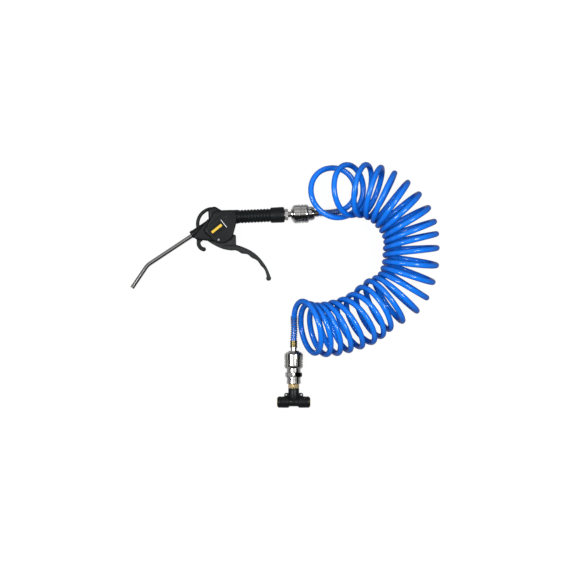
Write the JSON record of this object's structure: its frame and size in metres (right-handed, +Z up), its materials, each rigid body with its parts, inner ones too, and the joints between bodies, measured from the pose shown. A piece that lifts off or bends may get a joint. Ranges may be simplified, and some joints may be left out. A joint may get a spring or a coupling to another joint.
{
  "type": "coiled air hose",
  "caption": "Spiral compressed-air hose with a lever blow gun and bent nozzle on a quick coupler and a push-in tee on the other coupler.",
  "frame": {"origin": "on the ground under the middle of the round gun head, where its flat side rests", "axes": "+X along the grip from the gun head to the coupler and hose, +Y from the lever towards the hanging loop, +Z up, square to the flat side"},
  "size_m": [0.4335, 0.3403, 0.08],
  "materials": {
    "gun_plastic": "satin moulded",
    "tee_plastic": "satin moulded",
    "bright_steel": "drawn",
    "spring_steel": "plated wire",
    "black_steel": "blackened",
    "chrome": "polished plating",
    "brass": "turned",
    "rubber": "matte",
    "hose_blue": "glossy polyurethane"
  },
  "bodies": {
    "hose": {"gun_coupler_body": "chrome", "gun_sleeve_spring": "spring_steel", "gun_lock_balls": "bright_steel", "gun_circlip": "spring_steel", "gun_plug_seal": "rubber", "gun_check_valve": "brass", "gun_check_spring": "spring_steel", "hose_adapter": "chrome", "gun_ferrule": "black_steel", "gun_bend_guard": "black_steel", "hose_coil": "hose_blue", "hose_gun_end": "hose_blue", "hose_tee_end": "hose_blue", "tee_bend_guard": "spring_steel", "tee_ferrule": "brass", "hose_plug": "chrome"},
    "gun": {"gun_body": "gun_plastic", "nozzle_tube": "bright_steel", "nozzle_seal": "rubber", "thread_insert": "brass", "valve_gland": "brass", "stem_seal": "rubber", "valve_seat": "brass", "poppet_spring": "spring_steel", "trigger_pin": "bright_steel", "gun_plug": "chrome", "plug_washer": "spring_steel"},
    "lever": {"trigger_lever": "gun_plastic"},
    "valve": {"valve_stem": "black_steel", "valve_poppet": "rubber"},
    "gun_sleeve": {"gun_sleeve": "chrome"},
    "tee_coupler": {"tee_coupler_body": "chrome", "tee_sleeve_spring": "spring_steel", "tee_lock_balls": "bright_steel", "tee_circlip": "spring_steel", "tee_plug_seal": "rubber", "tee_check_valve": "brass", "tee_check_spring": "spring_steel", "hex_adapter": "chrome", "tee_stud": "brass", "stud_seal": "rubber"},
    "tee_sleeve": {"tee_sleeve": "chrome"},
    "tee": {"tee_body": "tee_plastic", "port_cartridges": "brass", "gripper_rings": "bright_steel", "port_seals": "rubber"},
    "left_collet": {"left_collet": "brass"},
    "right_collet": {"right_collet": "brass"}
  },
  "joints": [
    {"name": "gun_swivel", "type": "hinge", "parent": "hose", "child": "gun", "pos_m": [0.1, 0.0185, 0.013], "axis": [1, 0, 0], "continuous": true},
    {"name": "lever_hinge", "type": "hinge", "parent": "gun", "child": "lever", "pos_m": [-0.004, -0.0126, 0.013], "axis": [0, 0, 1], "range_deg": [0, 12], "stiffness_Nm_per_rad": 1.2, "springref_deg": -5.73},
    {"name": "valve_slide", "type": "slide", "parent": "gun", "child": "valve", "axis": [0, 1, 0], "range_m": [0, 0.003], "deforming": ["poppet_spring"]},
    {"name": "gun_sleeve_slide", "type": "slide", "parent": "hose", "child": "gun_sleeve", "axis": [1, 0, 0], "range_m": [0, 0.0043], "stiffness_N_per_m": 1500, "springref_m": -0.002, "deforming": ["gun_sleeve_spring"]},
    {"name": "tee_swivel", "type": "hinge", "parent": "hose", "child": "tee_coupler", "pos_m": [0.0937, -0.1737, 0.013], "axis": [-0.0436, -0.999, 0], "continuous": true},
    {"name": "tee_sleeve_slide", "type": "slide", "parent": "tee_coupler", "child": "tee_sleeve", "axis": [-0.0436, -0.999, 0], "range_m": [0, 0.0043], "stiffness_N_per_m": 1500, "springref_m": -0.002, "deforming": ["tee_sleeve_spring"]},
    {"name": "stud_swivel", "type": "hinge", "parent": "tee_coupler", "child": "tee", "pos_m": [0.09151, -0.22395, 0.013], "axis": [-0.0436, -0.999, 0], "continuous": true},
    {"name": "left_collet_slide", "type": "slide", "parent": "tee", "child": "left_collet", "axis": [0.999, -0.0436, 0], "range_m": [0, 0.001], "stiffness_N_per_m": 2000, "springref_m": -0.0005},
    {"name": "right_collet_slide", "type": "slide", "parent": "tee", "child": "right_collet", "axis": [-0.999, 0.0436, 0], "range_m": [0, 0.001], "stiffness_N_per_m": 2000, "springref_m": -0.0005}
  ],
  "couplings": [
    {"joint": "valve_slide", "follows": "lever_hinge", "m_per_rad": 0.0141}
  ]
}
